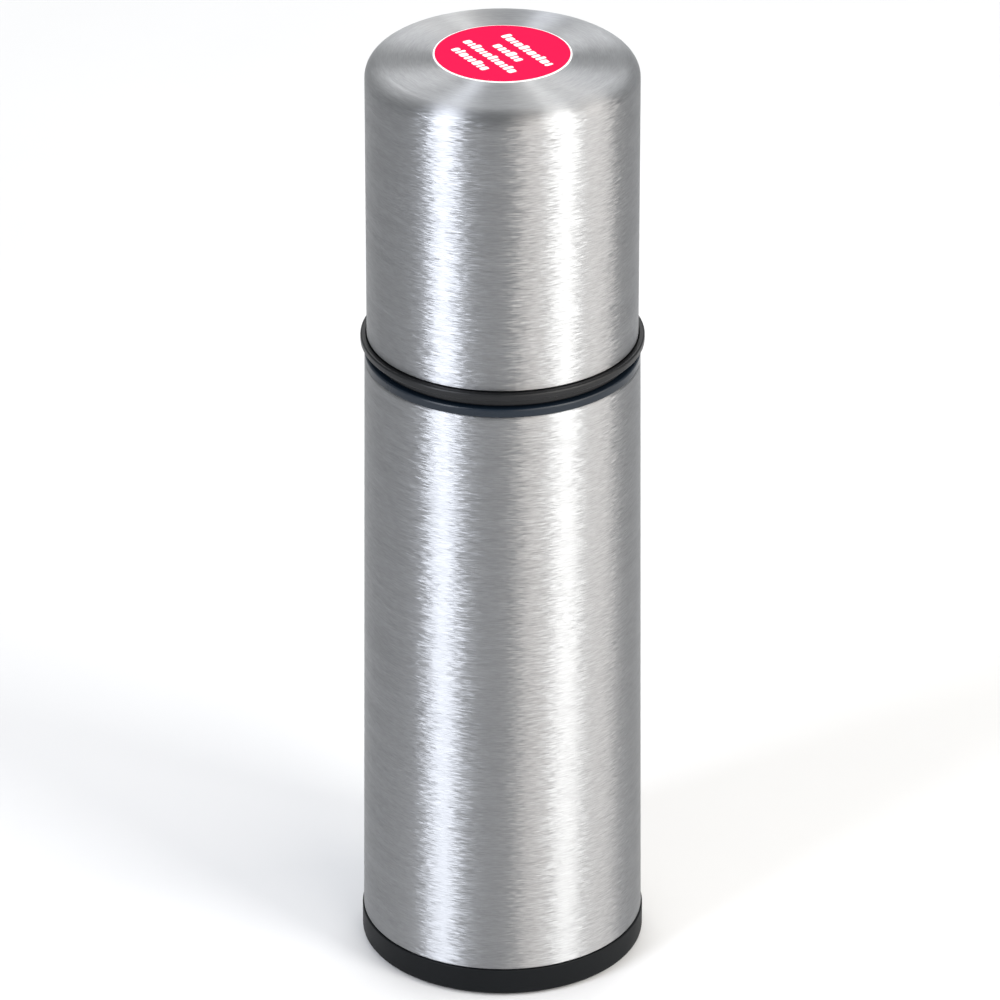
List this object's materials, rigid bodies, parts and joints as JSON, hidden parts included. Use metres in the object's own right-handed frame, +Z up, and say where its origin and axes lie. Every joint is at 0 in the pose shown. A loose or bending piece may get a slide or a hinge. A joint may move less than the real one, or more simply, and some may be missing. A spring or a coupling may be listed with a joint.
{
  "type": "vacuum flask",
  "caption": "Slim double-walled steel vacuum flask with a black base and collar, a steel drinking cup screwed on top and a push-button pouring stopper under it.",
  "frame": {"origin": "on the ground, in the middle of the rubber foot", "axes": "+Z up along the flask's axis; -Y is the side that faces the viewer"},
  "size_m": [0.0734, 0.0734, 0.2501],
  "materials": {
    "brushed_shell": "circumferentially brushed 18/8 stainless sheet",
    "vessel_steel": "bright-rolled 18/8 stainless sheet",
    "spring_steel": "bright drawn stainless wire and bar",
    "solder_glass": "fused brown sealing glass",
    "copper_foil": "thin bright copper foil",
    "getter": "sintered porous pellet",
    "black_plastic": "fine satin moulded polypropylene",
    "liner_plastic": "satin moulded polypropylene",
    "collar_plastic": "fine satin moulded polypropylene, blue-grey",
    "button_plastic": "satin moulded polypropylene",
    "foam": "closed-cell foam",
    "silicone": "translucent grey silicone rubber",
    "foot_rubber": "matt rubber",
    "label": "gloss-varnished printed paper"
  },
  "bodies": {
    "flask": {"outer_shell": "brushed_shell", "inner_vessel": "vessel_steel", "inner_bottom": "vessel_steel", "outer_bottom": "vessel_steel", "vacuum_seal": "solder_glass", "radiation_foil": "copper_foil", "getter_pellet": "getter", "getter_clip": "spring_steel", "base_cup": "black_plastic", "base_cushion": "foam", "base_pad": "foot_rubber", "neck_collar": "collar_plastic", "collar_seal": "silicone"},
    "cup_carrier": {"cup_cushion": "foam"},
    "cup": {"cup_shell": "brushed_shell", "cup_liner": "liner_plastic", "cup_label": "label"},
    "stopper_seal": {"neck_gasket": "silicone"},
    "stopper": {"stopper_housing": "black_plastic", "stopper_insulation": "foam", "stopper_lower_cap": "black_plastic", "stopper_head": "black_plastic", "button_spring": "spring_steel"},
    "valve": {"pour_button": "button_plastic", "button_oring": "silicone", "valve_stem": "spring_steel", "valve_disc": "black_plastic", "valve_seal": "silicone", "valve_clip": "spring_steel"}
  },
  "joints": [
    {"name": "cup_lift", "type": "slide", "parent": "flask", "child": "cup_carrier", "axis": [0, 0, 1], "range_m": [0, 0.085]},
    {"name": "cup_turn", "type": "hinge", "parent": "cup_carrier", "child": "cup", "pos_m": [0, 0, 0.2], "axis": [0, 0, 1], "range_deg": [0, 612]},
    {"name": "stopper_rise", "type": "slide", "parent": "flask", "child": "stopper_seal", "axis": [0, 0, 1], "range_m": [0, 0.008]},
    {"name": "stopper_turn", "type": "hinge", "parent": "stopper_seal", "child": "stopper", "pos_m": [0, 0, 0.187], "axis": [0, 0, 1], "range_deg": [0, 720]},
    {"name": "button_press", "type": "slide", "parent": "stopper", "child": "valve", "axis": [0, 0, -1], "range_m": [0, 0.0025], "stiffness_N_per_m": 1200, "springref_m": -0.004, "deforming": ["button_spring"]}
  ],
  "couplings": [
    {"joint": "stopper_turn", "follows": "stopper_rise", "rad_per_m": 1570.8}
  ]
}
